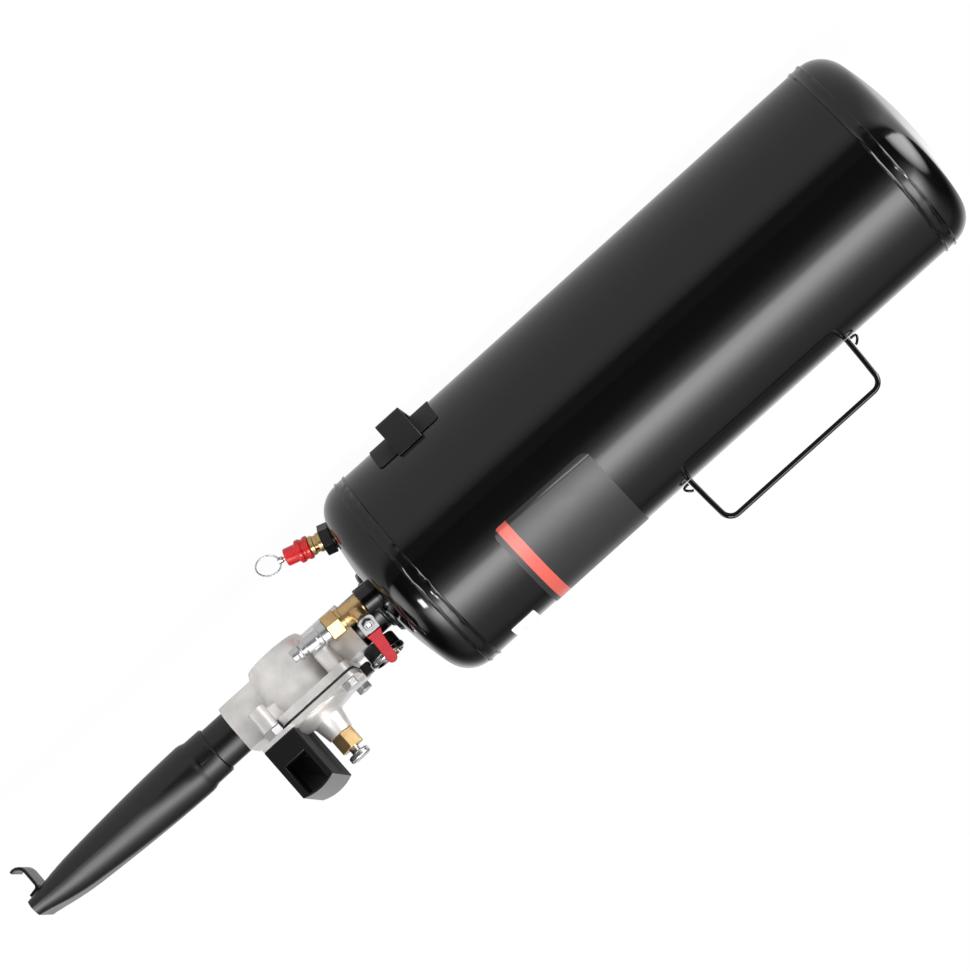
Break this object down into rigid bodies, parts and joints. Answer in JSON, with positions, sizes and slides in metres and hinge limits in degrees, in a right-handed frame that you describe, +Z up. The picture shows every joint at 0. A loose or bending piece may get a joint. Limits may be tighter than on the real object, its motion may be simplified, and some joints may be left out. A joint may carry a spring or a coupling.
{
  "type": "air receiver tank",
  "caption": "Hand-held bead seating air receiver: cylindrical tank with foot and wire handle, ball filling valve, relief valve, gauge, push-button release valve and flat flared nozzle.",
  "frame": {"origin": "middle of the foot's flat underside, below the tank's axis", "axes": "+X along the tank's axis towards the nozzle, +Z up towards the carrying handle, gauge and release button, -Y the side of the filling valve"},
  "size_m": [0.7767, 0.1594, 0.1984],
  "materials": {
    "tank_paint": "gloss black paint",
    "wire_paint": "gloss black paint on bent wire",
    "satin_black": "satin black paint",
    "cast_alloy": "tumbled die casting",
    "rubber": "matt black rubber",
    "steel": "zinc plated or bare steel",
    "chrome": "bright plated",
    "brass": "plain machined brass",
    "guard_black": "fine matt black",
    "gauge_black": "black",
    "dial": "white dial",
    "lens": "clear",
    "seats": "white seat rings",
    "red_vinyl": "red dipped sleeve",
    "red_cap": "bright red",
    "label": "plain dark label, no lettering",
    "sticker": "plain white sticker, no lettering"
  },
  "bodies": {
    "tank": {"tank_shell": "tank_paint", "front_head": "tank_paint", "rear_head": "tank_paint", "front_seam_weld": "tank_paint", "rear_seam_weld": "tank_paint", "outlet_bung": "tank_paint", "inlet_pipe": "tank_paint", "fill_boss": "tank_paint", "carry_handle": "wire_paint", "handle_eye_front": "wire_paint", "handle_eye_rear": "wire_paint", "nozzle": "satin_black", "nozzle_pipe": "satin_black", "foot": "satin_black", "relief_boss": "satin_black", "valve_body": "cast_alloy", "bonnet": "cast_alloy", "diaphragm": "rubber", "foot_pad": "rubber", "diaphragm_disc": "steel", "main_spring": "steel", "pilot_spring": "steel", "relief_spring": "steel", "front_stud_near": "steel", "front_stud_far": "steel", "bonnet_bolt_near": "steel", "bonnet_bolt_far": "steel", "quick_connect_plug": "steel", "nozzle_hook": "steel", "gauge_bezel": "chrome", "pilot_body": "brass", "ball_valve_body": "brass", "ball_valve_end": "brass", "relief_body": "brass", "guard": "guard_black", "gauge_case": "gauge_black", "gauge_stem": "gauge_black", "gauge_dial": "dial", "gauge_lens": "lens", "seat_rear": "seats", "seat_front": "seats", "relief_cap": "red_cap", "label": "label", "sticker": "sticker"},
    "lever": {"valve_ball": "chrome", "valve_stem": "steel", "lever_plate": "chrome", "lever_grip": "red_vinyl", "lever_nut": "steel"},
    "button": {"pilot_button": "steel"},
    "relief_poppet": {"relief_stem": "steel"},
    "ring": {"pull_ring": "steel"},
    "needle": {"gauge_pointer": "gauge_black"}
  },
  "joints": [
    {"name": "lever_turn", "type": "hinge", "parent": "tank", "child": "lever", "pos_m": [0.10128, -0.03247, 0.07727], "axis": [0.0942, 0.8039, -0.5872], "range_deg": [0, 90]},
    {"name": "button_press", "type": "slide", "parent": "tank", "child": "button", "axis": [0, 0, -1], "range_m": [0, 0.003], "stiffness_N_per_m": 400, "springref_m": -0.002, "deforming": ["pilot_spring"]},
    {"name": "relief_lift", "type": "slide", "parent": "tank", "child": "relief_poppet", "axis": [0.9537, 0, -0.3007], "range_m": [0, 0.0025], "stiffness_N_per_m": 500, "springref_m": -0.002},
    {"name": "ring_swing", "type": "hinge", "parent": "relief_poppet", "child": "ring", "pos_m": [0.11868, 0, 0.01497], "axis": [0.2089, 0.7193, 0.6625], "range_deg": [-75, 75]},
    {"name": "gauge_needle", "type": "hinge", "parent": "tank", "child": "needle", "pos_m": [0.106, 0, 0.108], "axis": [0, 0, -1], "range_deg": [0, 270], "stiffness_Nm_per_rad": 0.0001}
  ]
}
